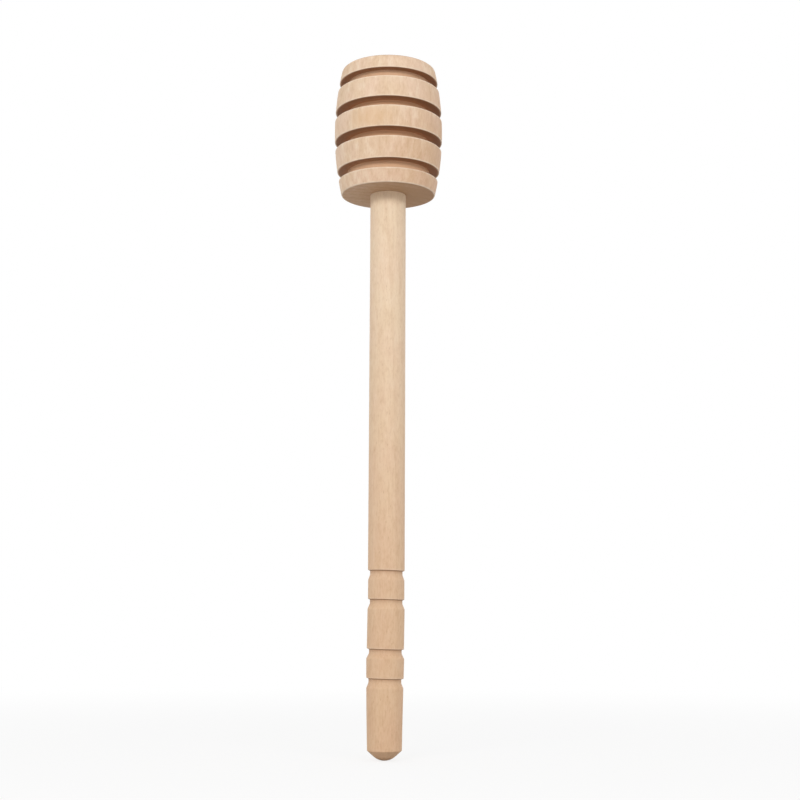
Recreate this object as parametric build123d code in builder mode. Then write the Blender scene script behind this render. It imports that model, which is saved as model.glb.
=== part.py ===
from build123d import *
from math import radians, tan
import os

# A honey dipper: a grooved barrel of turned wood, glued onto the tenon of a turned handle.
# Lengths are in millimetres and angles in degrees.
# The origin is the nose of the handle's tip. +Z runs up the axis to the free end of the head,
# so the head is uppermost, as the dipper is held to look at it.

# The whole dipper, from the nose of the tip to the free end of the head
overall_length = 150.0

# The head, a barrel whose side is one arc between two flat faces. The radius falls off by the
# same amount from the belly to each end.
head_length = 28.7
head_belly_diameter = 23.8
barrel_falloff = 1.6
free_end_rounding = 0.6
handle_end_easing = 0.2

# The grooves that hold the honey, spaced evenly about the middle of the head. Their pitch is a
# share of its length.
groove_count = 4
groove_pitch_share = 0.237
groove_width = 2.1
groove_core_diameter = 18.0

# The handle, a straight round stick as far as its notched grip
handle_diameter = 7.8

# The glued joint: a tenon turned on the handle, in a hole drilled through a share of the head's
# length. The shoulder at the foot of the tenon closes the mouth of the hole.
tenon_diameter = 7.0
tenon_chamfer = 0.6
bore_depth_share = 0.7
bore_clearance = 0.1
drill_point_angle = 118.0
tenon_end_clearance = 0.5
glue_setback = 0.8

# The grip: two beads with a block between them, each parted from the next by a turned notch.
# The lengths run from the lip of one notch to the lip of the next, and the first from the nose.
grip_end_length = 16.8
bead_pitch = 6.05
block_pitch = 10.3

# A notch: a steep step below its lip, a short floor, and a ramp out to the next stretch
notch_floor_diameter = 6.9
notch_step_length = 0.15
notch_floor_length = 0.8
notch_ramp_length = 1.1

# The stretches of the grip are sanded by hand, so each has a slightly different diameter
upper_bead_diameter = 7.7
block_diameter = 7.85
lower_bead_top_diameter = 8.0
lower_bead_bottom_diameter = 7.85
end_stretch_top_diameter = 7.8
end_stretch_bottom_diameter = 7.3

# The domed tip: a short cone that runs into a round nose
tip_length = 2.05
tip_cone_length = 1.05
tip_cone_end_diameter = 4.9

# How far a cutting outline runs past the surface that it cuts
cut_overrun = 1.0

# Worked out for the head
head_base = overall_length - head_length
head_middle = head_base + head_length / 2
head_belly_radius = head_belly_diameter / 2
head_end_radius = head_belly_radius - barrel_falloff
groove_pitch = head_length * groove_pitch_share
groove_core_radius = groove_core_diameter / 2
groove_cut_depth = head_belly_radius + cut_overrun - groove_core_radius

# Worked out for the glued joint
handle_radius = handle_diameter / 2
tenon_radius = tenon_diameter / 2
bore_radius = tenon_radius + bore_clearance
bore_shoulder = head_base + head_length * bore_depth_share
drill_point = bore_shoulder + bore_radius / tan(radians(drill_point_angle / 2))
tenon_end = bore_shoulder - tenon_end_clearance
glue_bottom = head_base + glue_setback

# Worked out for the grip, as heights of the notches' lips from the lowest to the highest
end_stretch_top = grip_end_length
lower_bead_top = end_stretch_top + bead_pitch
block_top = lower_bead_top + block_pitch
upper_bead_top = block_top + bead_pitch
notch_floor_radius = notch_floor_diameter / 2

# Each notch from the lowest: the height of its lip, the radius of the stretch below it, and the
# radius of the stretch above it
notches = [
    (end_stretch_top, end_stretch_top_diameter / 2, lower_bead_bottom_diameter / 2),
    (lower_bead_top, lower_bead_top_diameter / 2, block_diameter / 2),
    (block_top, block_diameter / 2, upper_bead_diameter / 2),
    (upper_bead_top, upper_bead_diameter / 2, handle_radius),
]

# Worked out for the tip
nose_top = tip_length - tip_cone_length
nose_top_radius = tip_cone_end_diameter / 2


def bore_outline(bottom):
    """Half the outline of the drilled hole, from a height up to its point."""
    return [
        (0, bottom),
        (bore_radius, bottom),
        (bore_radius, bore_shoulder),
        (0, drill_point),
    ]


# The head: a barrel outline with its ends eased and its grooves cut, turned about the axis, and
# then the hole for the tenon
with BuildPart() as head:
    with BuildSketch(Plane.XZ) as head_profile:
        with BuildLine():
            ThreePointArc(
                (head_end_radius, head_base),
                (head_belly_radius, head_middle),
                (head_end_radius, overall_length),
            )
            Polyline(
                (head_end_radius, overall_length),
                (0, overall_length),
                (0, head_base),
                (head_end_radius, head_base),
            )
        make_face()
        rim_corners = head_profile.vertices().group_by(Axis.X)[-1].sort_by(Axis.Y)
        chamfer(rim_corners[0], handle_end_easing)
        fillet(rim_corners[-1], free_end_rounding)
        with Locations((groove_core_radius + groove_cut_depth / 2, head_middle)):
            with GridLocations(groove_cut_depth, groove_pitch, 1, groove_count):
                Rectangle(groove_cut_depth, groove_width, mode=Mode.SUBTRACT)
    revolve(axis=Axis.Z)

    with BuildSketch(Plane.XZ):
        with BuildLine():
            Polyline(*bore_outline(head_base), close=True)
        make_face()
    revolve(axis=Axis.Z, mode=Mode.SUBTRACT)

head.part.label = "head"


# The handle: one turned outline, from the nose of the tip to the chamfered end of the tenon
handle_outline = [
    (nose_top_radius, nose_top),
    (end_stretch_bottom_diameter / 2, tip_length),
]
for lip, radius_below, radius_above in notches:
    floor_top = lip - notch_step_length
    floor_bottom = floor_top - notch_floor_length
    handle_outline += [
        (radius_below, floor_bottom - notch_ramp_length),
        (notch_floor_radius, floor_bottom),
        (notch_floor_radius, floor_top),
        (radius_above, lip),
    ]
handle_outline += [
    (handle_radius, head_base),
    (tenon_radius, head_base),
    (tenon_radius, tenon_end - tenon_chamfer),
    (tenon_radius - tenon_chamfer, tenon_end),
    (0, tenon_end),
    (0, 0),
]

with BuildPart() as handle:
    with BuildSketch(Plane.XZ):
        with BuildLine():
            TangentArc((0, 0), handle_outline[0], tangent=(1, 0))
            Polyline(*handle_outline)
        make_face()
    revolve(axis=Axis.Z)

handle.part.label = "handle"


# The glue film: it fills the hole above the mouth, wherever the tenon leaves room
with BuildPart() as glue_film:
    with BuildSketch(Plane.XZ):
        with BuildLine():
            Polyline(*bore_outline(glue_bottom), close=True)
        make_face()
    revolve(axis=Axis.Z)
    add(handle.part, mode=Mode.SUBTRACT)

glue_film.part.label = "glue_film"


os.makedirs("parts", exist_ok=True)
export_step(head.part, "parts/head.step")
export_step(handle.part, "parts/handle.step")
export_step(glue_film.part, "parts/glue_film.step")
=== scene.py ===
import bpy
from bpy.props import FloatProperty, FloatVectorProperty, IntProperty, PointerProperty
from math import asin, cos, pi, radians, sin, tan
from mathutils import Matrix, Vector, noise


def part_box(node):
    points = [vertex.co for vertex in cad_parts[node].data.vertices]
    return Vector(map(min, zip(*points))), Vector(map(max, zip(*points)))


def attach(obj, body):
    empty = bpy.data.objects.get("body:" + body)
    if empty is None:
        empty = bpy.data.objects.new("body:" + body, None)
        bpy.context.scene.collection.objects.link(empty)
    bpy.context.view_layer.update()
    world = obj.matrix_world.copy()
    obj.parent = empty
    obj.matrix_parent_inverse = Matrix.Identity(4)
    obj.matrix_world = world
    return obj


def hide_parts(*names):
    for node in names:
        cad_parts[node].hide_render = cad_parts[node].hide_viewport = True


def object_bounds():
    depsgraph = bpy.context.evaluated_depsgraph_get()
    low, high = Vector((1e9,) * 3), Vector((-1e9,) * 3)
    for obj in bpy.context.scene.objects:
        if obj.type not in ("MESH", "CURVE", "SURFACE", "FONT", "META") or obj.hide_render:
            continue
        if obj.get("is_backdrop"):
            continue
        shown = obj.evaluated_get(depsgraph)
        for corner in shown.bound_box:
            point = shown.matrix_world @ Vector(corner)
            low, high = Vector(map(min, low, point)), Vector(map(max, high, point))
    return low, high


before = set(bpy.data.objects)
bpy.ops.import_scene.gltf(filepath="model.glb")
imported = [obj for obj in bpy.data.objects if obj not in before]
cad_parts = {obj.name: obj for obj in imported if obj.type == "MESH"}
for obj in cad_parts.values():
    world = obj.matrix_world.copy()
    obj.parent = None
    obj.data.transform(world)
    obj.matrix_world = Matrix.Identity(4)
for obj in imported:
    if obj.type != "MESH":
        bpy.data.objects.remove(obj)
CAD_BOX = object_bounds()
HEAD_LOW, HEAD_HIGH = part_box("head")
HANDLE_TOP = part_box("handle")[1].z

bl_info = {
    "name": "Honey Dipper",
    "version": (1, 0, 0),
    "blender": (4, 5, 0),
    "location": "View3D > Sidebar > Dipper",
    "description": "A turned wooden honey dipper with a grooved head and a notched grip",
    "category": "Add Mesh",
}

MM = 0.001
MM_IN_A_METRE = 1000.0

# The head is this much shorter than in the frame, so that rounding never takes it past the CAD box
HAIR = 0.001 * MM

# Where two faces meet at more than this, the edge between them is drawn sharp
SHARP_ANGLE = radians(50)

# The distance from a lip, in millimetres, that stands for a surface with no lip near it
FAR_FROM_LIP = 9.0


# Sizes and colours that a user would change


def length(name, description, default):
    """A length in metres, shown in the scene's unit."""
    return FloatProperty(
        name=name, description=description, default=default, min=0.0, unit="LENGTH", precision=5
    )


def colour(name, description, default):
    """A linear colour without alpha."""
    return FloatVectorProperty(
        name=name, description=description, default=default, size=3, min=0.0, max=1.0, subtype="COLOR"
    )


class DipperHeadSizes(bpy.types.PropertyGroup):
    """Sizes of the grooved head"""

    base_height: length(
        "Base Height", "Height of the head's face on the side of the handle", HEAD_LOW.z
    )
    head_length: length(
        "Length", "Length of the head along the axis", HEAD_HIGH.z - HEAD_LOW.z - HAIR
    )
    belly_diameter: length("Belly", "Diameter at the middle of the barrel", 23.8 * MM)
    falloff: length("Falloff", "How much the radius falls from the belly to each end", 1.6 * MM)
    groove_count: IntProperty(
        name="Grooves", description="Number of grooves that hold the honey", default=4, min=1, max=12
    )
    groove_pitch: length("Groove Pitch", "Distance from one groove to the next", 6.8 * MM)
    groove_width: length("Groove Width", "Width of each groove along the axis", 2.1 * MM)
    core_diameter: length("Core", "Diameter left standing inside the grooves", 18.0 * MM)
    lip_easing: length("Lip Easing", "Rounding that sanding leaves on the lips", 0.06 * MM)
    end_rounding: length("End Rounding", "Rounding of the rim at the free end", 0.6 * MM)
    base_easing: length("Base Easing", "Rounding of the rim beside the handle", 0.2 * MM)
    bore_diameter: length("Bore", "Diameter of the hole that takes the tenon", 7.2 * MM)
    bore_depth: length("Bore Depth", "Depth of the hole up to its shoulder", 20.09 * MM)
    point_angle: FloatProperty(
        name="Drill Point", description="Angle of the hole's point", default=radians(118), subtype="ANGLE"
    )
    unevenness: length("Unevenness", "Deepest dip that turning and sanding leave", 0.03 * MM)
    segments: IntProperty(
        name="Segments", description="Number of faces round the axis", default=144, min=24, max=512
    )
    seed: IntProperty(name="Seed", description="Chooses the pattern of the dips", default=4, min=0)


class DipperHandleSizes(bpy.types.PropertyGroup):
    """Sizes of the handle, its grip and its tenon"""

    diameter: length("Diameter", "Thickness of the plain stretch", 7.8 * MM)
    head_face: length("Head Face", "Height of the shoulder under the head", HEAD_LOW.z)
    tenon_diameter: length("Tenon", "Thickness of the tenon inside the head", 7.0 * MM)
    tenon_end: length("Tenon End", "Height of the end of the tenon", HANDLE_TOP)
    tenon_chamfer: length("Tenon Chamfer", "Chamfer on the end of the tenon", 0.6 * MM)
    first_lip: length("First Lip", "Height of the lowest notch's lip", 16.8 * MM)
    bead_pitch: length("Bead Pitch", "Distance between the lips on both sides of a bead", 6.05 * MM)
    block_pitch: length("Block Pitch", "Distance between the lips on both sides of the block", 10.3 * MM)
    upper_bead: length("Upper Bead", "Diameter of the upper bead", 7.7 * MM)
    block: length("Block", "Diameter of the block between the beads", 7.85 * MM)
    lower_bead_top: length("Lower Bead Top", "Diameter of the lower bead at its top", 8.0 * MM)
    lower_bead_bottom: length("Lower Bead Bottom", "Diameter of the lower bead at its bottom", 7.85 * MM)
    end_top: length("End Top", "Diameter of the end stretch under the lowest notch", 7.8 * MM)
    end_bottom: length("End Bottom", "Diameter of the end stretch above the tip", 7.3 * MM)
    tip_length: length("Tip Length", "Length of the domed tip, cone and nose together", 2.05 * MM)
    nose_length: length("Nose Length", "Length of the round nose", 1.0 * MM)
    nose_diameter: length("Nose", "Diameter where the cone runs into the nose", 4.9 * MM)
    notch_floor: length("Notch Floor", "Diameter at the bottom of the notches", 6.9 * MM)
    notch_step: length("Notch Step", "Length of the steep side under each lip", 0.15 * MM)
    notch_flat: length("Notch Flat", "Length of the bottom of each notch", 0.8 * MM)
    notch_ramp: length("Notch Ramp", "Length of the sloping side of each notch", 1.1 * MM)
    notch_lean: FloatProperty(
        name="Notch Lean",
        description="How far the hand-cut notches lean down towards +X",
        default=radians(1.5),
        subtype="ANGLE",
    )
    grip_offset: length("Grip Offset", "How far the grip runs out towards -X at the tip", 0.22 * MM)
    easing: length("Easing", "Rounding that sanding leaves on the corners", 0.08 * MM)
    unevenness: length("Unevenness", "Deepest dip that turning and sanding leave", 0.03 * MM)
    segments: IntProperty(
        name="Segments", description="Number of faces round the axis", default=112, min=24, max=512
    )


class DipperWood(bpy.types.PropertyGroup):
    """Colours of the wood"""

    pale: colour("Pale", "Main colour of the head", (0.80, 0.592, 0.408))
    pink: colour("Pink", "Rosier colour of the broad blotches", (0.83, 0.61, 0.45))
    handle_pale: colour("Handle Pale", "Main colour of the handle near the head", (0.885, 0.70, 0.50))
    handle_pink: colour("Handle Pink", "Rosier blotches of the handle", (0.875, 0.67, 0.485))
    head_tone: colour("Head Tone", "How the head darkens at its lower right", (0.90, 0.815, 0.75))
    # darkens and warms the handle towards the tip
    tip_tone: colour("Handled", "How skin darkens the handle by the tip", (0.885, 0.765, 0.675))
    latewood: colour("Latewood", "Darker colour at the end of each year's growth", (0.66, 0.45, 0.28))
    fleck: colour("Fleck", "Colour of the short flecks", (0.55, 0.35, 0.20))
    warm: colour("Warm", "Colour of the stained patch on the middle disc", (0.74, 0.49, 0.28))
    # painted warm shade at the bottoms of the grooves
    painted_warm_groove_shade: colour("Toasted", "Colour of the bottoms of the grooves", (0.78, 0.475, 0.275))
    # also gives the painted highlight along the lips
    cut: colour("Cut", "Colour of the fresh lips and worn edges", (0.92, 0.76, 0.59))
    # painted shade: the dark brown laid on the walls of the cuts and under the lips
    painted_cut_shade: colour("Burnt", "Colour that the hot tool leaves on the walls of the cuts", (0.29, 0.125, 0.055))
    end_grain: colour("End Grain", "Colour where the fibres are cut across", (0.455, 0.27, 0.145))
    ring_width: FloatProperty(
        name="Ring Width", description="Width of a year's growth, in millimetres", default=2.3, min=0.1
    )


class DipperGlue(bpy.types.PropertyGroup):
    """Colours of the glue"""

    thin: colour("Thin", "Colour where the glue is thin", (0.70, 0.56, 0.28))
    cloudy: colour("Cloudy", "Colour where the glue is cloudy", (0.80, 0.70, 0.45))


class DipperStage(bpy.types.PropertyGroup):
    """Settings of the camera, the lamps and the sky"""

    lens: FloatProperty(name="Lens", description="Focal length in millimetres", default=64.2, min=1.0)
    camera_tilt: FloatProperty(
        name="Camera Tilt", description="How far the camera looks up", default=radians(8.87), subtype="ANGLE"
    )
    camera_roll: FloatProperty(
        name="Camera Roll", description="Turn about the line of sight", default=radians(0.2), subtype="ANGLE"
    )
    key_turn: FloatProperty(
        name="Key Turn",
        description="How far round from the front the left lamp stands",
        default=radians(-22),
        subtype="ANGLE",
    )
    fill_turn: FloatProperty(
        name="Fill Turn",
        description="How far round from the front the right lamp stands",
        default=radians(28),
        subtype="ANGLE",
    )
    key_power: FloatProperty(
        name="Key Power", description="Power of the lamp at the left", default=1.14, unit="POWER"
    )
    fill_power: FloatProperty(
        name="Fill Power", description="Power of the lamp at the right", default=0.76, unit="POWER"
    )
    sky_above: FloatProperty(
        name="Sky Above", description="Light from high up, where 1 is white", default=0.5, min=0.0
    )
    sky_front: FloatProperty(
        name="Sky Front", description="Light from the low sky in front", default=0.7, min=0.0
    )
    sky_back: FloatProperty(
        name="Sky Back", description="Light from the low sky behind", default=1.45, min=0.0
    )


# Nodes written as expressions


class Socket:
    """The output of a node, which takes part in plain arithmetic."""

    def __init__(self, nodes, socket):
        self.nodes = nodes
        self.socket = socket

    def math(self, operation, *values):
        inputs = dict(enumerate((self, *values)))
        return self.nodes.add("ShaderNodeMath", inputs, operation=operation)

    def __add__(self, other):
        return self.math("ADD", other)

    def __sub__(self, other):
        return self.math("SUBTRACT", other)

    def __mul__(self, other):
        return self.math("MULTIPLY", other)

    def __truediv__(self, other):
        return self.math("DIVIDE", other)

    def __pow__(self, other):
        return self.math("POWER", other)

    def __lt__(self, other):
        return self.math("LESS_THAN", other)

    def __gt__(self, other):
        return self.math("GREATER_THAN", other)

    def __rsub__(self, other):
        return self.nodes.add("ShaderNodeMath", {0: other, 1: self}, operation="SUBTRACT")

    def __rtruediv__(self, other):
        return self.nodes.add("ShaderNodeMath", {0: other, 1: self}, operation="DIVIDE")

    __radd__ = __add__
    __rmul__ = __mul__

    def other(self, name):
        """Another output of the same node."""
        return Socket(self.nodes, self.socket.node.outputs[name])


class Nodes:
    """Adds nodes to one tree."""

    def __init__(self, tree):
        self.tree = tree
        tree.nodes.clear()

    def add(self, kind, inputs=None, output=0, stops=None, **settings):
        """A node of a kind: its settings come first, then the values or links of its inputs."""
        node = self.tree.nodes.new(kind)
        for name, value in settings.items():
            setattr(node, name, value)
        if stops:
            ramp = node.color_ramp
            while len(ramp.elements) < len(stops):
                ramp.elements.new(1.0)
            for element, (position, grey) in zip(ramp.elements, stops):
                element.position = position
                element.color = (grey, grey, grey, 1.0)
        for key, value in (inputs or {}).items():
            target = node.inputs[key]
            if isinstance(value, Socket):
                self.tree.links.new(value.socket, target)
            elif target.type == "RGBA" and len(value) == 3:
                target.default_value = (*value, 1.0)
            else:
                target.default_value = value
        return Socket(self, node.outputs[output]) if node.outputs else node

    def pick(self, mask, when_0, when_1):
        """One value where the mask is 0 and another where it is 1."""
        return self.add("ShaderNodeMix", {0: mask, 2: when_0, 3: when_1}, clamp_factor=False)

    def blend(self, factor, first, second):
        """One colour over another."""
        inputs = {0: factor, 6: first, 7: second}
        return self.add("ShaderNodeMix", inputs, output=2, data_type="RGBA")

    def smooth(self, value, start, end):
        """A soft step from 0 at the start to 1 at the end."""
        inputs = {"Value": value, "From Min": start, "From Max": end}
        return self.add("ShaderNodeMapRange", inputs, interpolation_type="SMOOTHSTEP")

    def stretched(self, place, scale, turn=(0.0, 0.0, 0.0), shift=(0.0, 0.0, 0.0)):
        """Coordinates stretched, turned and then shifted."""
        inputs = {"Vector": place, "Scale": scale, "Rotation": turn, "Location": shift}
        return self.add("ShaderNodeMapping", inputs)

    def parted(self, vector):
        """The three parts of a vector."""
        x = self.add("ShaderNodeSeparateXYZ", {"Vector": vector})
        return x, x.other("Y"), x.other("Z")

    def noise(self, place, scale=1.0, detail=2.0, roughness=0.5):
        """Smooth noise from 0 to 1, about its middle."""
        inputs = {"Vector": place, "Scale": scale, "Detail": detail, "Roughness": roughness}
        return self.add("ShaderNodeTexNoise", inputs)


# Materials


def new_material(name):
    """An empty material and the adder for its nodes."""
    material = bpy.data.materials.new(name)
    material.use_nodes = True
    return material, Nodes(material.node_tree)


# Each noise of the wood: how fast it varies across the grain and along it, in turns a millimetre,
# its detail and its roughness
GRAIN = {
    "wander": (0.09, 0.012, 2.0, 0.5),
    "year_tone": (0.35, 0.01, 1.0, 0.5),
    "fibre": (5.5, 0.22, 4.0, 0.6),
    "hair": (14.0, 1.1, 3.0, 0.6),
    "streak": (1.1, 0.028, 3.0, 0.5),
    "blotch": (0.21, 0.09, 3.0, 0.5),
    "mottle": (0.75, 0.30, 3.0, 0.6),
    "speck": (2.8, 0.9, 3.0, 0.65),
    "ragged": (0.9, 0.9, 3.0, 0.5),
    "pores": (1.3, 1.3, 4.0, 0.7),
    "waver": (0.1, 1.4, 2.0, 0.5),
}

PURE_WHITE = (1.0, 1.0, 1.0)

# The distance from one mark of the turning tool to the next, in millimetres
TOOL_MARK_PITCH = 0.55


def stored(nodes, name):
    """A value that the mesh keeps under a name."""
    return nodes.add("ShaderNodeAttribute", output="Fac", attribute_name=name)


def grain_noises(nodes, trunk):
    """Every noise of the wood, by its name."""
    return {
        name: nodes.noise(
            nodes.stretched(trunk, (across, across, along)), detail=detail, roughness=roughness
        )
        for name, (across, along, detail, roughness) in GRAIN.items()
    }


def growth_rings(nodes, trunk, pith, wander, ring_width):
    """Rings round the pith, bent by slow noise, with a dark end to each year."""
    offset = nodes.add("ShaderNodeVectorMath", {0: trunk, 1: (*pith, 0.0)}, operation="SUBTRACT")
    x, y = nodes.parted(offset)[:2]
    from_pith = (x * x + y * y) ** 0.5 + wander * 5.0
    year = (from_pith / ring_width).math("FRACT")
    stops = ((0.0, 0.0), (0.55, 0.12), (0.88, 1.0), (1.0, 0.0))
    return nodes.add("ShaderNodeValToRGB", {"Fac": year}, stops=stops)


def short_flecks(nodes, trunk):
    """Short dark flecks along the grain, in the cells that chance picks."""
    cells = nodes.add(
        "ShaderNodeTexVoronoi",
        {"Vector": nodes.stretched(trunk, (2.1, 2.1, 0.62)), "Scale": 1.0},
        output="Distance",
    )
    chance = nodes.add("ShaderNodeSeparateColor", {"Color": cells.other("Color")})
    return (1.0 - nodes.smooth(cells, 0.06, 0.26)) * nodes.smooth(chance, 0.45, 0.95)


def long_grain(nodes, grain, ring, fleck, wood, colours, mottled):
    """The colour of the sides, where the fibres lie along the surface."""
    tint = nodes.blend(nodes.smooth(grain["blotch"], 0.35, 0.65), *colours)
    dark_years = ring * nodes.smooth(grain["year_tone"], 0.25, 0.75) * 0.22
    tint = nodes.blend(dark_years, tint, tuple(wood.latewood))
    for name, start, end, strength, over in (
        ("streak", 0.45, 0.80, 0.14, wood.latewood),
        ("mottle", 0.48, 0.78, mottled, wood.latewood),
        ("mottle", 0.52, 0.25, mottled, wood.cut),
        ("fibre", 0.42, 0.80, 0.24, wood.latewood),
        ("fibre", 0.50, 0.22, 0.18, wood.cut),
        ("speck", 0.46, 0.76, 0.34, wood.latewood),
        ("speck", 0.50, 0.24, 0.30, wood.cut),
    ):
        tint = nodes.blend(nodes.smooth(grain[name], start, end) * strength, tint, tuple(over))
    return nodes.blend(fleck * 0.42, tint, tuple(wood.fleck))


def toned(nodes, tint, across, height, blotch, tone):
    """The colour under the tone that the piece takes on towards one end."""
    dark, slant, (full, none) = tone
    edge = height - across * slant + (blotch - 0.5) * 12.0
    darkened = nodes.blend(1.0 - nodes.smooth(edge, full, none), PURE_WHITE, dark)
    return nodes.add(
        "ShaderNodeMix", {0: 1.0, 6: tint, 7: darkened}, output=2, data_type="RGBA", blend_type="MULTIPLY"
    )


def stained(nodes, tint, place, streak, patch, stain):
    """The colour with a stained patch, given by its middle and how fast it fades along each axis."""
    middle, fading = patch
    gap = nodes.add("ShaderNodeVectorMath", {0: place, 1: middle}, operation="SUBTRACT")
    faded = nodes.add("ShaderNodeVectorMath", {0: gap, 1: fading}, operation="MULTIPLY")
    distance = nodes.add("ShaderNodeVectorMath", {0: faded}, output="Value", operation="LENGTH")
    near = 1.0 - nodes.smooth(distance + streak * 0.8, 0.7, 1.5)
    return nodes.blend(near * 0.62, tint, stain)


def worn_lips_and_highlight(nodes, ragged):
    """1 along the ragged edge of each lip, where the wood is worn and a highlight is painted, and 0 away
    from it and down in the cuts.
    """
    from_lip = stored(nodes, "lip_distance") + ragged * 0.5
    uncut = 1.0 - nodes.smooth(stored(nodes, "cut_depth"), 0.05, 0.3)
    return (1.0 - nodes.smooth(from_lip, 0.22, 0.62)) * uncut


def with_cuts(nodes, tint, wood, end_grain_and_painted_shade, lip_wear_and_highlight, cuts):
    """The colour where the fibres are cut across, with painted shade down in the cuts and under the lips,
    and on worn lips with a painted highlight.
    """
    cut_ends, worn, (darkest_depth, darkness) = cuts
    depth = stored(nodes, "cut_depth")
    ends = nodes.smooth(stored(nodes, "end_grain"), 0.55, 0.98)
    # painted shade on the walls of the cuts, darkest a little way in from the lip
    painted_wall_shade = nodes.smooth(depth, 0.1, 0.5) * (0.82 - nodes.smooth(depth, 0.5, 3.0) * 0.42)
    for strength, over in (
        (ends * end_grain_and_painted_shade * cut_ends, wood.end_grain),
        # painted warm shade at the bottoms of the grooves
        (nodes.smooth(depth, 1.0, 2.6), wood.painted_warm_groove_shade),
        (ends * painted_wall_shade, wood.painted_cut_shade),
        # painted shade, darker the deeper the cut
        (nodes.smooth(depth, 0.05, darkest_depth) * darkness, wood.painted_cut_shade),
        # painted shadow just under each lip of the handle's notches
        (stored(nodes, "painted_lip_shadow") * 0.6, wood.painted_cut_shade),
        # lighter along the lips: worn wood and a painted highlight
        (lip_wear_and_highlight * worn, wood.cut),
    ):
        tint = nodes.blend(strength, tint, tuple(over))
    return tint


def wood_material(name, wood, colours, tone, trunk_place, mottled, cuts, patch=None):
    """Pale fine-grained wood, cut from a trunk whose pith lies beside the piece and leans a little.

    tone is a colour that darkens the piece, the slant of its edge across X, and the heights between
    which it fades. trunk_place is the place of the pith, the lean and the shift of the trunk.
    mottled says how strong the mottling is. cuts says how strong the colour of the fibres' ends and
    the worn edges with their painted highlight are, and then how deep a cut is where its painted shade is
    darkest, with how dark it is there.
    """
    pith, lean, shift = trunk_place
    material, nodes = new_material(name)
    place = nodes.add("ShaderNodeTexCoord", output="Object")
    trunk = nodes.stretched(place, (MM_IN_A_METRE,) * 3, turn=lean, shift=shift)
    x, y, z = nodes.parted(nodes.stretched(place, (MM_IN_A_METRE,) * 3))
    from_axis = (x * x + y * y) ** 0.5
    grain = grain_noises(nodes, trunk)
    ring = growth_rings(nodes, trunk, pith, grain["wander"], wood.ring_width)
    fleck = short_flecks(nodes, trunk)
    lip_wear_and_highlight = worn_lips_and_highlight(nodes, grain["ragged"])

    tint = long_grain(nodes, grain, ring, fleck, wood, colours, mottled)
    tint = toned(nodes, tint, x, z, grain["blotch"], tone)
    if patch:
        tint = stained(nodes, tint, place, grain["streak"], patch, tuple(wood.warm))
    # painted shade on the cut ends: darker towards +X and towards the axis, where the handle shades the
    # head's face; the pores and rings are the grain's own
    painted_shade_off_rim = nodes.smooth(from_axis, 6.0, 10.5) * 0.27
    end_grain_and_painted_shade = 0.84 + x * 0.026 - painted_shade_off_rim + (grain["pores"] - 0.5) * 0.6 + ring * 0.18
    tint = with_cuts(nodes, tint, wood, end_grain_and_painted_shade, lip_wear_and_highlight, cuts)

    # the marks of the turning tool run round the side and in rings on the flat faces
    waver = grain["waver"]
    marks = ((from_axis + z + waver * 0.8) * (2 * pi / TOOL_MARK_PITCH)).math("SINE")
    relief = grain["fibre"] * 0.5 + grain["hair"] * 0.5 - fleck * 0.6 + marks * waver * 0.10
    bump = nodes.add("ShaderNodeBump", {"Height": relief, "Strength": 0.5, "Distance": 0.04 * MM})

    rough = 0.56 + grain["fibre"] * 0.16 + grain["hair"] * 0.10 - lip_wear_and_highlight * 0.08
    surface = nodes.add(
        "ShaderNodeBsdfPrincipled",
        {"Base Color": tint, "Roughness": rough, "Normal": bump, "Specular IOR Level": 0.35},
    )
    nodes.add("ShaderNodeOutputMaterial", {"Surface": surface})
    return material


def glue_material(glue):
    """Cured wood glue, dull and yellowish, with small bubbles."""
    material, nodes = new_material("cured_glue")
    place = nodes.add("ShaderNodeTexCoord", output="Object")
    cloud = nodes.noise(place, 400.0, detail=3.0)
    bubbles = nodes.add("ShaderNodeTexVoronoi", {"Vector": place, "Scale": 1500.0}, output="Distance")
    tint = nodes.blend(nodes.smooth(cloud, 0.3, 0.7), tuple(glue.thin), tuple(glue.cloudy))
    bump = nodes.add("ShaderNodeBump", {"Height": bubbles, "Strength": 0.4, "Distance": 0.05 * MM})
    surface = nodes.add(
        "ShaderNodeBsdfPrincipled",
        {"Base Color": tint, "Roughness": 0.35 + cloud * 0.3, "Normal": bump},
    )
    nodes.add("ShaderNodeOutputMaterial", {"Surface": surface})
    return material


# The grooved head


HOLE_ROWS = 3
CORNER_ROWS = 6
MIDDLE_ROWS = 3
SUPPORT = 0.05 * MM

# What is added to a quotient before it is rounded down, so that a whole one stays whole
NUDGE = 1e-5

# The dips are noise on a drum of this radius, in millimetres, at this scale
DIP_DRUM_RADIUS = 12
DIP_SCALE = 0.16

# Points closer than this are made one
WELD_DISTANCE = 0.001 * MM

# The inputs of the head's tree, each with the setting that it takes its value from
HEAD_INPUTS = {
    "Base Height": "base_height",
    "Length": "head_length",
    "Belly Diameter": "belly_diameter",
    "Falloff": "falloff",
    "Groove Count": "groove_count",
    "Groove Pitch": "groove_pitch",
    "Groove Width": "groove_width",
    "Core Diameter": "core_diameter",
    "Lip Easing": "lip_easing",
    "End Rounding": "end_rounding",
    "Base Easing": "base_easing",
    "Bore Diameter": "bore_diameter",
    "Bore Depth": "bore_depth",
    "Point Angle": "point_angle",
    "Unevenness": "unevenness",
    "Segments": "segments",
    "Seed": "seed",
}
WHOLE_NUMBERS = ("Groove Count", "Segments", "Seed")


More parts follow.
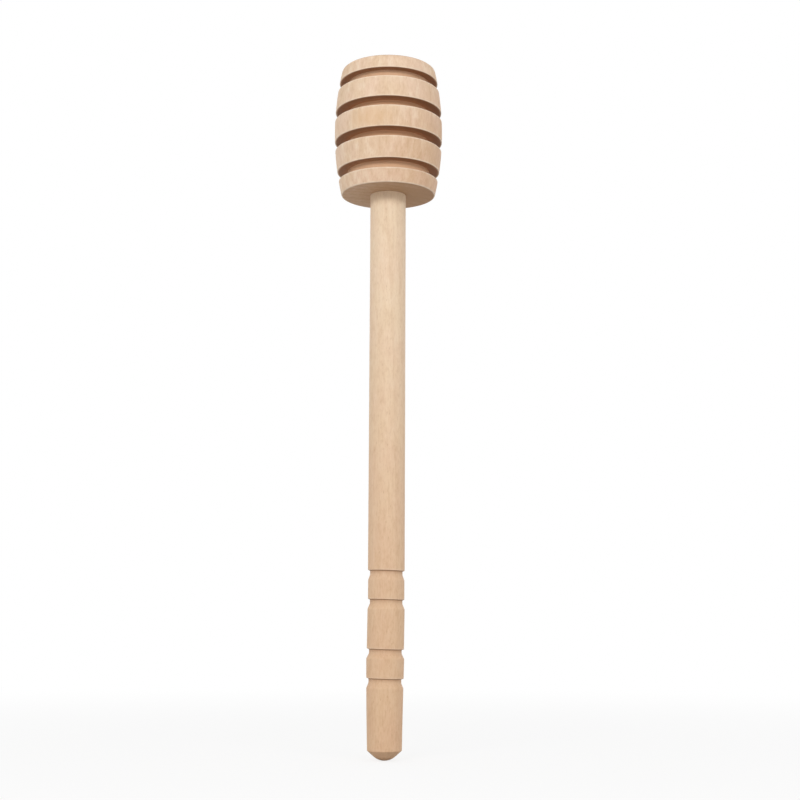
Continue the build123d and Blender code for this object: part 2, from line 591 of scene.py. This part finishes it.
def finished(nodes, shape, material):
    """The shape with its seam welded, its end grain stored, its sharp edges set and its material."""
    shape = nodes.add("GeometryNodeMergeByDistance", {"Geometry": shape, "Distance": WELD_DISTANCE})
    upward = nodes.parted(nodes.add("GeometryNodeInputNormal"))[2]
    shape = nodes.add(
        "GeometryNodeStoreNamedAttribute",
        {"Geometry": shape, "Name": "end_grain", "Value": upward.math("ABSOLUTE")},
        data_type="FLOAT",
        domain="FACE",
    )
    shape = nodes.add("GeometryNodeSetShadeSmooth", {"Geometry": shape}, domain="FACE")
    fold = nodes.add("GeometryNodeInputMeshEdgeAngle", output="Unsigned Angle")
    shape = nodes.add(
        "GeometryNodeSetShadeSmooth",
        {"Geometry": shape, "Selection": fold > SHARP_ANGLE, "Shade Smooth": False},
        domain="EDGE",
    )
    shape = nodes.add("GeometryNodeRealizeInstances", {"Geometry": shape})
    return nodes.add("GeometryNodeSetMaterial", {"Geometry": shape, "Material": material})


def grooved_head_tree():
    """A tree that turns a grooved barrel with a blind hole, from the sizes in its inputs.

    A grid is wrapped round the axis. Its rows follow the outline: the hole, then a stretch of rows
    for each disc and the groove above it, and last the middle of the free end.
    """
    tree = bpy.data.node_groups.new("Grooved Head", "GeometryNodeTree")
    for name in HEAD_INPUTS:
        kind = "NodeSocketInt" if name in WHOLE_NUMBERS else "NodeSocketFloat"
        tree.interface.new_socket(name, in_out="INPUT", socket_type=kind)
    tree.interface.new_socket("Material", in_out="INPUT", socket_type="NodeSocketMaterial")
    tree.interface.new_socket("Geometry", in_out="OUTPUT", socket_type="NodeSocketGeometry")
    nodes = Nodes(tree)
    size = nodes.add("NodeGroupInput").other
    pick = nodes.pick

    base, count = size("Base Height"), size("Groove Count")
    top = base + size("Length")
    middle = base + size("Length") / 2
    bore_radius = size("Bore Diameter") / 2

    # where each point of the grid lies in the outline
    disc_rows = CORNER_ROWS * 2 + MIDDLE_ROWS
    period = disc_rows + 2
    rows = (count + 1) * period + (HOLE_ROWS - 1)
    index = nodes.add("GeometryNodeInputIndex")
    column = (index / rows + NUDGE).math("FLOOR")
    row = index - column * rows
    after_hole = row - HOLE_ROWS
    disc = (after_hole / period + NUDGE).math("FLOOR")
    step = after_hole - disc * period
    first, last = disc < 0.5, disc > count - 0.5
    upper = step > (disc_rows - 1) / 2
    in_hole = row < HOLE_ROWS - 0.5
    in_groove = step > disc_rows - 0.5
    at_end = row > rows - 1.5

    # the disc of this row, from wall to wall
    groove_above = middle + (disc - (count - 1) / 2) * size("Groove Pitch")
    groove_below = groove_above - size("Groove Pitch")
    low = pick(first, groove_below + size("Groove Width") / 2, base)
    high = pick(last, groove_above - size("Groove Width") / 2, top)
    low_ease = pick(first, size("Lip Easing"), size("Base Easing"))
    high_ease = pick(last, size("Lip Easing"), size("End Rounding"))

    # its rounded corners, each an arc between two close rows
    from_wall = step.math("MINIMUM", (disc_rows - 1) - step)
    turn = ((from_wall - 1) / (CORNER_ROWS - 3)).math("MAXIMUM", 0.0).math("MINIMUM", 1.0) * (pi / 2)
    ease = pick(upper, low_ease, high_ease)
    on_wall, on_side = from_wall < 0.5, from_wall > CORNER_ROWS - 1.5
    inset = ease * (1 - turn.math("SINE")) + on_wall * SUPPORT
    rise = ease * (1 - turn.math("COSINE")) + on_side * SUPPORT
    corner_height = pick(upper, low + rise, high - rise)
    share = (step - (CORNER_ROWS - 1)) / (MIDDLE_ROWS + 1)
    side_height = pick(share, low + low_ease + SUPPORT, high - high_ease - SUPPORT)
    between = from_wall > CORNER_ROWS - 0.5
    disc_height = pick(between, corner_height, side_height)
    groove_height = high + (step > disc_rows + 0.5) * size("Groove Width")
    outer_height = pick(in_groove, disc_height, groove_height)

    # the side of the barrel is one arc
    half = size("Length") / 2
    arc = (half * half + size("Falloff") * size("Falloff")) / (size("Falloff") * 2)
    away = outer_height - middle
    side = size("Belly Diameter") / 2 - arc + (arc * arc - away * away) ** 0.5
    disc_depth = pick(between, inset, 0.0)
    cut_depth = pick(in_groove, disc_depth, side - size("Core Diameter") / 2)
    outer_radius = side - cut_depth

    # the hole, and the middle of the free end
    shoulder = base + size("Bore Depth")
    point = shoulder + bore_radius / (size("Point Angle") / 2).math("TANGENT")
    hole_height = pick(row > 1.5, pick(row > 0.5, point, shoulder), base)
    radius = pick(in_hole, outer_radius, bore_radius * (row > 0.5)) * (1 - at_end)
    height = pick(at_end, pick(in_hole, outer_height, hole_height), top)

    # the surface dips a little where it is neither in the hole nor on the axis
    angle = column / size("Segments") * (2 * pi)
    east, north = angle.math("COSINE"), angle.math("SINE")
    spot = nodes.add(
        "ShaderNodeCombineXYZ",
        {"X": east * DIP_DRUM_RADIUS, "Y": north * DIP_DRUM_RADIUS, "Z": height * MM_IN_A_METRE},
    )
    dips = nodes.add(
        "ShaderNodeTexNoise",
        {"Vector": spot, "W": size("Seed"), "Scale": DIP_SCALE, "Detail": 2.0},
        noise_dimensions="4D",
    )
    outside = (1 - in_hole) * (1 - at_end)
    radius = radius - dips * size("Unevenness") * outside
    turned = nodes.add(
        "ShaderNodeCombineXYZ", {"X": radius * east, "Y": radius * north, "Z": height}
    )

    grid = nodes.add(
        "GeometryNodeMeshGrid", {"Vertices X": size("Segments") + 1, "Vertices Y": rows}, output="Mesh"
    )
    shape = nodes.add("GeometryNodeSetPosition", {"Geometry": grid, "Position": turned})
    lip_distance = (outer_height - low).math("MINIMUM", high - outer_height) * MM_IN_A_METRE
    for name, value, elsewhere in (
        ("lip_distance", pick(in_groove, lip_distance, 0.0), FAR_FROM_LIP),
        ("cut_depth", cut_depth * MM_IN_A_METRE, 0.0),
    ):
        shape = nodes.add(
            "GeometryNodeStoreNamedAttribute",
            {"Geometry": shape, "Name": name, "Value": pick(outside, elsewhere, value)},
            data_type="FLOAT",
            domain="POINT",
        )
    shape = finished(nodes, shape, size("Material"))
    nodes.add("NodeGroupOutput", {"Geometry": shape})
    return tree


def grown_mesh(name, tree, values):
    """The plain mesh that a tree makes from these values of its inputs."""
    host = bpy.data.objects.new(name, bpy.data.meshes.new(name + "_seed"))
    bpy.context.scene.collection.objects.link(host)
    modifier = host.modifiers.new(tree.name, "NODES")
    modifier.node_group = tree
    for item in tree.interface.items_tree:
        if item.in_out == "INPUT" and item.name in values:
            modifier[item.identifier] = values[item.name]
    graph = bpy.context.evaluated_depsgraph_get()
    mesh = bpy.data.meshes.new_from_object(host.evaluated_get(graph))
    host.modifiers.remove(modifier)
    bpy.data.objects.remove(host)
    mesh.name = name
    return mesh


# The turned handle


# A corner that turns by less than this stays as it is
FLAT_CORNER = radians(8)

# How far a corner's curve may run into the runs beside it, as a share of their length, and how far
# behind the curve its close rows lie, as a share of the curve's reach
RUN_SHARE = 0.4
SUPPORT_SHARE = 0.4

LONGEST_RUN = 1.2 * MM
NOSE_STEPS = 8

# The dips are noise on a drum of this radius, and this many units of it fill a metre of height
HANDLE_DRUM_RADIUS = 1.3
HANDLE_DIP_RATE = 190.0

# The tip has no dips, nor has the handle from this far below the head up to the tenon's end
DIPLESS_TIP = 2 * MM
DIPLESS_NECK = 2 * MM

# A notch leans this far from its lip, and the grip runs out of line between these heights
LEAN_REACH = 4 * MM
BEND_LOW, BEND_HIGH = 10 * MM, 36 * MM

# The painted shadow under a lip fades over this height, and is full where the cut is this deep
PAINTED_LIP_SHADOW_REACH = 0.45 * MM
PAINTED_LIP_SHADOW_DEPTH = 0.4 * MM

# Below this height the surface counts as uncut
UNCUT_TIP = 3 * MM


def eased(outline, easing):
    """The outline with each clear corner turned into a short curve between two close rows."""
    rows = [outline[0]]
    for before, corner, after in zip(outline, outline[1:], outline[2:]):
        back, ahead = before - corner, after - corner
        if back.angle(-ahead) < FLAT_CORNER:
            rows.append(corner)
            continue
        reach = min(easing, back.length * RUN_SHARE, ahead.length * RUN_SHARE)
        start, end = corner + back.normalized() * reach, corner + ahead.normalized() * reach
        rows.append(start + back.normalized() * reach * SUPPORT_SHARE)
        for share in (0.0, 0.33, 0.67, 1.0):
            rows.append(start.lerp(corner, share).lerp(corner.lerp(end, share), share))
        rows.append(end + ahead.normalized() * reach * SUPPORT_SHARE)
    rows.append(outline[-1])
    return rows


def divided(outline, longest):
    """The outline with its long runs divided."""
    rows = [outline[0]]
    for start, end in zip(outline, outline[1:]):
        parts = max(1, int((end - start).length / longest) + 1)
        rows += [start.lerp(end, part / parts) for part in range(1, parts + 1)]
    return rows


def handle_outline(sizes):
    """The outline of the handle as (radius, height), and the heights of its notches' lips."""
    nose_radius = sizes.nose_diameter / 2
    ball = (nose_radius**2 + sizes.nose_length**2) / (2 * sizes.nose_length)
    reach = asin(nose_radius / ball)
    turns = [reach * step / NOSE_STEPS for step in range(NOSE_STEPS + 1)]
    outline = [Vector((ball * sin(turn), ball * (1 - cos(turn)))) for turn in turns]
    outline.append(Vector((sizes.end_bottom / 2, sizes.tip_length)))
    lips = [sizes.first_lip]
    for pitch in (sizes.bead_pitch, sizes.block_pitch, sizes.bead_pitch):
        lips.append(lips[-1] + pitch)
    below = [sizes.end_top, sizes.lower_bead_top, sizes.block, sizes.upper_bead]
    above = [sizes.lower_bead_bottom, sizes.block, sizes.upper_bead, sizes.diameter]
    for lip, diameter_below, diameter_above in zip(lips, below, above):
        floor_top = lip - sizes.notch_step
        floor_bottom = floor_top - sizes.notch_flat
        outline += [
            Vector((diameter_below / 2, floor_bottom - sizes.notch_ramp)),
            Vector((sizes.notch_floor / 2, floor_bottom)),
            Vector((sizes.notch_floor / 2, floor_top)),
            Vector((diameter_above / 2, lip)),
        ]
    tenon = sizes.tenon_diameter / 2
    outline += [
        Vector((sizes.diameter / 2, sizes.head_face)),
        Vector((tenon, sizes.head_face)),
        Vector((tenon, sizes.tenon_end - sizes.tenon_chamfer)),
        Vector((tenon - sizes.tenon_chamfer, sizes.tenon_end)),
        Vector((0.0, sizes.tenon_end)),
    ]
    return outline, lips


def hand_sanded(sizes, lips):
    """A function that places a point of the handle by its radius, height and angle."""
    slope = tan(sizes.notch_lean)

    def place(radius, height, angle):
        east, north = cos(angle), sin(angle)
        spot = Vector((east * HANDLE_DRUM_RADIUS, north * HANDLE_DRUM_RADIUS, height * HANDLE_DIP_RATE))
        dip = sizes.unevenness * (0.5 + 0.5 * noise.noise(spot))
        if height > sizes.head_face - DIPLESS_NECK or height < DIPLESS_TIP:
            dip = 0.0
        near = max(0.0, 1.0 - min(abs(height - lip) for lip in lips) / LEAN_REACH)
        low = 1.0 - min(max((height - BEND_LOW) / (BEND_HIGH - BEND_LOW), 0.0), 1.0)
        aside = -sizes.grip_offset * low * low * (3.0 - 2.0 * low)
        radius -= min(dip, radius)
        lean = radius * east * slope * near
        return Vector((radius * east + aside, radius * north, height - lean))

    return place


def handle_marks(sizes, rows, lips):
    """For each row, its distance from a lip and its depth in millimetres, and how much painted shadow falls
    on it under a lip.
    """
    outer = sizes.diameter / 2
    marks = {"lip_distance": [], "cut_depth": [], "painted_lip_shadow": []}
    for radius, height in rows:
        hidden = height > sizes.head_face
        depth = max(0.0, outer - radius)
        under = min((lip - height for lip in lips if lip >= height), default=1.0)
        # painted shadow, strongest just under a lip and where the cut is deep
        painted_lip_shadow = max(0.0, 1.0 - under / PAINTED_LIP_SHADOW_REACH) * min(1.0, depth / PAINTED_LIP_SHADOW_DEPTH)
        from_lip = min(abs(height - lip) for lip in lips) / MM
        marks["lip_distance"].append(FAR_FROM_LIP if hidden else from_lip)
        marks["cut_depth"].append(0.0 if hidden or height < UNCUT_TIP else depth / MM)
        marks["painted_lip_shadow"].append(painted_lip_shadow)
    return marks


def turned_mesh(name, rows, segments, place, marks):
    """A closed mesh turned from rows of (radius, height), the first and the last on the axis."""
    points, faces = [Vector((0.0, 0.0, rows[0].y))], []
    for radius, height in rows[1:-1]:
        for segment in range(segments):
            points.append(place(radius, height, 2 * pi * segment / segments))
    points.append(Vector((0.0, 0.0, rows[-1].y)))
    rings = len(rows) - 2
    last = len(points) - 1
    for segment in range(segments):
        beside = (segment + 1) % segments
        faces.append((0, 1 + beside, 1 + segment))
        for ring in range(rings - 1):
            low, high = 1 + ring * segments, 1 + (ring + 1) * segments
            faces.append((low + segment, low + beside, high + beside, high + segment))
        edge = 1 + (rings - 1) * segments
        faces.append((edge + segment, edge + beside, last))
    mesh = bpy.data.meshes.new(name)
    mesh.from_pydata(points, [], faces)
    for attribute, values in marks.items():
        layer = mesh.attributes.new(attribute, "FLOAT", "POINT")
        spread = [values[0]]
        for value in values[1:-1]:
            spread += [value] * segments
        layer.data.foreach_set("value", spread + [values[-1]])
    layer = mesh.attributes.new("end_grain", "FLOAT", "FACE")
    layer.data.foreach_set("value", [abs(face.normal.z) for face in mesh.polygons])
    mesh.shade_smooth()
    mesh.set_sharp_from_angle(angle=SHARP_ANGLE)
    return mesh


# Bringing the pieces into the scene


def show(name, mesh, material, node):
    """Puts a finished piece in the place of its CAD node."""
    mesh.materials.clear()
    mesh.materials.append(material)
    piece = bpy.data.objects.new(name, mesh)
    bpy.context.scene.collection.objects.link(piece)
    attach(piece, "root")
    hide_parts(node)
    return piece


class DIPPER_OT_make_head(bpy.types.Operator):
    """Turns the grooved head from its sizes"""

    bl_idname = "dipper.make_head"
    bl_label = "Make Grooved Head"

    def execute(self, context):
        sizes, wood = context.scene.dipper_head, context.scene.dipper_wood
        material = wood_material(
            "head_wood",
            wood,
            (tuple(wood.pale), tuple(wood.pink)),
            tone=(tuple(wood.head_tone), 1.4, (112.0, 145.0)),
            trunk_place=((-21.0, 34.0), (radians(2.0), radians(-1.5), 0.0), (5.0, -3.0, 40.0)),
            mottled=0.68,
            cuts=(1.0, 0.8, (3.0, 0.04)),
            patch=((-3.5 * MM, -11.0 * MM, 135.6 * MM), (200.0, 120.0, 330.0)),
        )
        values = {name: getattr(sizes, setting) for name, setting in HEAD_INPUTS.items()}
        values["Material"] = material
        mesh = grown_mesh("grooved_head", grooved_head_tree(), values)
        if not mesh.polygons:
            raise RuntimeError("the head's tree made no faces")
        show("grooved_head", mesh, material, "head")
        return {"FINISHED"}


class DIPPER_OT_make_handle(bpy.types.Operator):
    """Turns the handle with its notched grip, domed tip and tenon"""

    bl_idname = "dipper.make_handle"
    bl_label = "Make Notched Handle"

    def execute(self, context):
        sizes, wood = context.scene.dipper_handle, context.scene.dipper_wood
        outline, lips = handle_outline(sizes)
        rows = divided(eased(outline, sizes.easing), LONGEST_RUN)
        place, marks = hand_sanded(sizes, lips), handle_marks(sizes, rows, lips)
        mesh = turned_mesh("notched_handle", rows, sizes.segments, place, marks)
        material = wood_material(
            "handle_wood",
            wood,
            (tuple(wood.handle_pale), tuple(wood.handle_pink)),
            tone=(tuple(wood.tip_tone), 0.0, (10.0, 125.0)),
            trunk_place=((17.0, 26.0), (radians(-0.8), radians(0.7), 0.0), (-2.0, 7.0, 0.0)),
            mottled=0.32,
            cuts=(0.7, 0.25, (0.45, 0.05)),
        )
        show("notched_handle", mesh, material, "handle")
        return {"FINISHED"}


class DIPPER_OT_dress_glue(bpy.types.Operator):
    """Gives the glue in the joint its material"""

    bl_idname = "dipper.dress_glue"
    bl_label = "Dress Glue"

    def execute(self, context):
        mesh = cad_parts["glue_film"].data
        mesh.materials.clear()
        mesh.materials.append(glue_material(context.scene.dipper_glue))
        return {"FINISHED"}


# The stage: floor, sky, lamps and camera


LAMP_REACH, LAMP_LEVEL = 0.6, 0.31
LAMP_WIDTH, LAMP_HEIGHT = 0.34, 0.12
FLOOR_RADIUS, FLOOR_SIDES = 1.5, 64
CAMERA_PLACE = (2.77 * MM, -304.0 * MM, 28.3 * MM)

# What the floor sends back at the object, and the paper that the camera sees a little of
BOUNCE_GREY = (0.64, 0.64, 0.64)
PAPER_WHITE = (0.98, 0.98, 0.98)


def seen_rays(nodes):
    """1 for rays from the camera, and for those that a glossy or clear surface sends on."""
    path = nodes.add("ShaderNodeLightPath", output="Is Camera Ray")
    seen = path + path.other("Is Glossy Ray") + path.other("Is Transmission Ray")
    return seen.math("MINIMUM", 1.0)


def floor_material():
    """A white floor that keeps the object's shadow and runs out into the white backdrop."""
    material, nodes = new_material("white_floor")
    place = nodes.add("ShaderNodeTexCoord", output="Object")
    away = nodes.add("ShaderNodeVectorMath", {0: place}, output="Value", operation="LENGTH")
    matt = nodes.add("ShaderNodeBsdfDiffuse", {"Color": BOUNCE_GREY})
    paper = nodes.add("ShaderNodeBsdfDiffuse", {"Color": PAPER_WHITE})
    white = nodes.add("ShaderNodeEmission", {"Color": PURE_WHITE, "Strength": 1.0})
    fade = 0.80 + nodes.smooth(away, 0.05, 0.35) * 0.20
    shown = nodes.add("ShaderNodeMixShader", {0: fade, 1: paper, 2: white})
    surface = nodes.add("ShaderNodeMixShader", {0: seen_rays(nodes), 1: matt, 2: shown})
    nodes.add("ShaderNodeOutputMaterial", {"Surface": surface})
    return material


def add_lamp(name, turn, power, warmth):
    """A wide soft lamp, turned round the axis from the front, that faces the head."""
    lamp = bpy.data.lights.new(name, "AREA")
    lamp.shape = "RECTANGLE"
    lamp.size, lamp.size_y = LAMP_WIDTH, LAMP_HEIGHT
    lamp.energy = power
    lamp.color = warmth
    holder = bpy.data.objects.new(name, lamp)
    place = Vector((LAMP_REACH * sin(turn), -LAMP_REACH * cos(turn), LAMP_LEVEL))
    target = Vector((0.0, 0.0, HEAD_LOW.z))
    holder.location = place
    holder.rotation_euler = (target - place).to_track_quat("-Z", "Y").to_euler()
    bpy.context.scene.collection.objects.link(holder)


def add_floor():
    """A round floor, marked as part of the stage."""
    turns = [2 * pi * side / FLOOR_SIDES for side in range(FLOOR_SIDES)]
    rim = [(FLOOR_RADIUS * cos(turn), FLOOR_RADIUS * sin(turn), 0.0) for turn in turns]
    mesh = bpy.data.meshes.new("floor")
    mesh.from_pydata(rim, [], [tuple(range(FLOOR_SIDES))])
    mesh.materials.append(floor_material())
    floor = bpy.data.objects.new("floor", mesh)
    bpy.context.scene.collection.objects.link(floor)
    floor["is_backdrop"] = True


def white_studio(stage):
    """A sky that looks white and lights the object differently from above, in front and behind."""
    world = bpy.data.worlds.new("white_studio")
    world.use_nodes = True
    nodes = Nodes(world.node_tree)
    y, z = nodes.parted(nodes.add("ShaderNodeTexCoord", output="Generated"))[1:]
    low_sky = nodes.pick(nodes.smooth(y, -0.3, 0.7), stage.sky_front, stage.sky_back)
    light = nodes.pick(nodes.smooth(z, 0.38, 0.52), low_sky, stage.sky_above)
    strength = nodes.pick(seen_rays(nodes), light, 1.0)
    sky = nodes.add("ShaderNodeBackground", {"Color": PURE_WHITE, "Strength": strength})
    nodes.add("ShaderNodeOutputWorld", {"Surface": sky})
    return world


def add_camera(stage):
    """The camera, where the photographer's stood."""
    camera = bpy.data.cameras.new("camera")
    camera.lens = stage.lens
    camera.clip_start = 0.01
    eye = bpy.data.objects.new("camera", camera)
    eye.matrix_world = (
        Matrix.Translation(CAMERA_PLACE)
        @ Matrix.Rotation(pi / 2 + stage.camera_tilt, 4, "X")
        @ Matrix.Rotation(stage.camera_roll, 4, "Z")
    )
    bpy.context.scene.collection.objects.link(eye)
    return eye


class DIPPER_OT_set_stage(bpy.types.Operator):
    """Sets up the floor, the sky, the lamps and the camera"""

    bl_idname = "dipper.set_stage"
    bl_label = "Set Stage"

    def execute(self, context):
        scene, stage = context.scene, context.scene.dipper_stage
        add_floor()
        scene.world = white_studio(stage)
        add_lamp("key", stage.key_turn, stage.key_power, (1.0, 0.985, 0.97))
        add_lamp("fill", stage.fill_turn, stage.fill_power, (1.0, 0.99, 0.98))
        scene.camera = add_camera(stage)
        scene.view_settings.view_transform = "Standard"
        return {"FINISHED"}


class DIPPER_PT_panel(bpy.types.Panel):
    """Lists the pieces of the dipper and their sizes"""

    bl_idname = "DIPPER_PT_panel"
    bl_label = "Honey Dipper"
    bl_space_type = "VIEW_3D"
    bl_region_type = "UI"
    bl_category = "Dipper"

    def draw(self, context):
        for operator in OPERATORS:
            self.layout.operator(operator.bl_idname)
        for name in GROUPS:
            settings = getattr(context.scene, name)
            box = self.layout.box()
            box.label(text=name.removeprefix("dipper_").title())
            for setting in settings.__annotations__:
                box.prop(settings, setting)


GROUPS = {
    "dipper_head": DipperHeadSizes,
    "dipper_handle": DipperHandleSizes,
    "dipper_wood": DipperWood,
    "dipper_glue": DipperGlue,
    "dipper_stage": DipperStage,
}
OPERATORS = (
    DIPPER_OT_set_stage,
    DIPPER_OT_make_head,
    DIPPER_OT_make_handle,
    DIPPER_OT_dress_glue,
)
CLASSES = (*GROUPS.values(), *OPERATORS, DIPPER_PT_panel)


def register():
    for one in CLASSES:
        bpy.utils.register_class(one)
    for name, group in GROUPS.items():
        setattr(bpy.types.Scene, name, PointerProperty(type=group))


def unregister():
    for name in GROUPS:
        delattr(bpy.types.Scene, name)
    for one in reversed(CLASSES):
        bpy.utils.unregister_class(one)


def main():
    register()
    bpy.ops.dipper.set_stage()
    bpy.ops.dipper.make_head()
    bpy.ops.dipper.make_handle()
    bpy.ops.dipper.dress_glue()
    boxes = {"cad": CAD_BOX, "visual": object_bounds()}
    sizes = {name: [list(low), list(high)] for name, (low, high) in boxes.items()}


if __name__ == "__main__":
    main()
